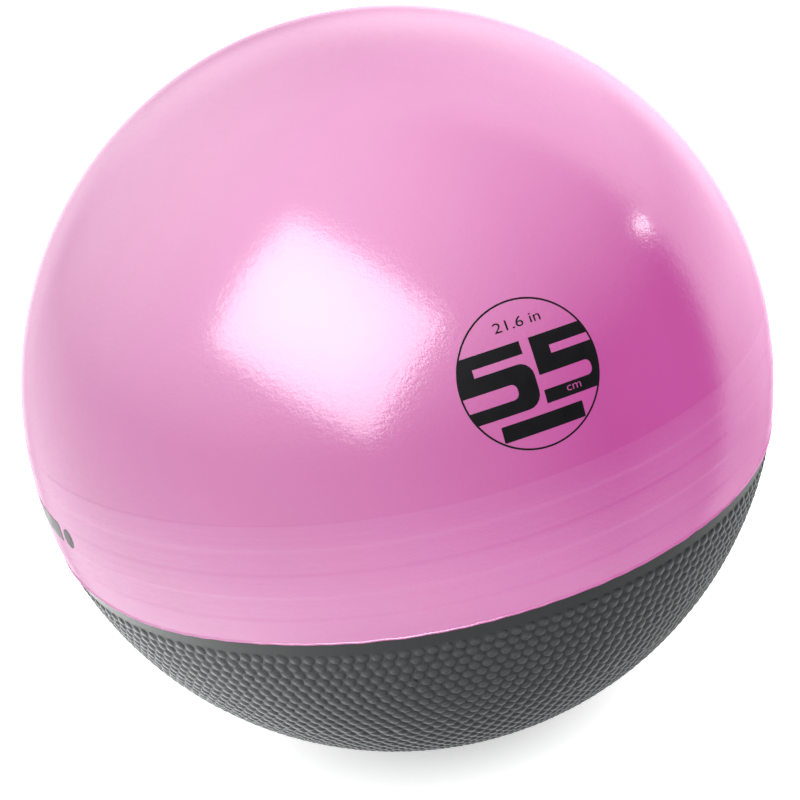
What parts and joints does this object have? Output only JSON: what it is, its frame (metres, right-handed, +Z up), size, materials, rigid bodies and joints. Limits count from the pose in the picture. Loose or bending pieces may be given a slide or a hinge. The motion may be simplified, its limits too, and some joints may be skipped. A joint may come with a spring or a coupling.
{
  "type": "weighted stability ball",
  "caption": "Inflatable exercise ball that stays put: soft upper skin with shallow rings, heavy studded base with a flat resting patch, and a push-in air plug.",
  "frame": {"origin": "middle of the flat patch that the ball rests on", "axes": "+Z up along the ball's axis, from the studded base to the top of the upper skin; the size mark faces -Y and a little to +X; the air valve faces +Y and 28 degrees up"},
  "size_m": [0.5498, 0.5498, 0.5392],
  "materials": {
    "upper_skin": "satin, softly pearly PVC",
    "studded_base": "satin moulded studs",
    "valve": "satin",
    "plug": "satin moulded plastic",
    "print": "printed ink, satin"
  },
  "bodies": {
    "ball": {"upper_shell": "upper_skin", "base_shell": "studded_base", "valve_seat": "valve"},
    "plug": {"air_plug": "plug"}
  },
  "joints": [
    {"name": "plug_pull", "type": "slide", "parent": "ball", "child": "plug", "axis": [0, 0.8829, 0.4695], "range_m": [0, 0.024]}
  ]
}
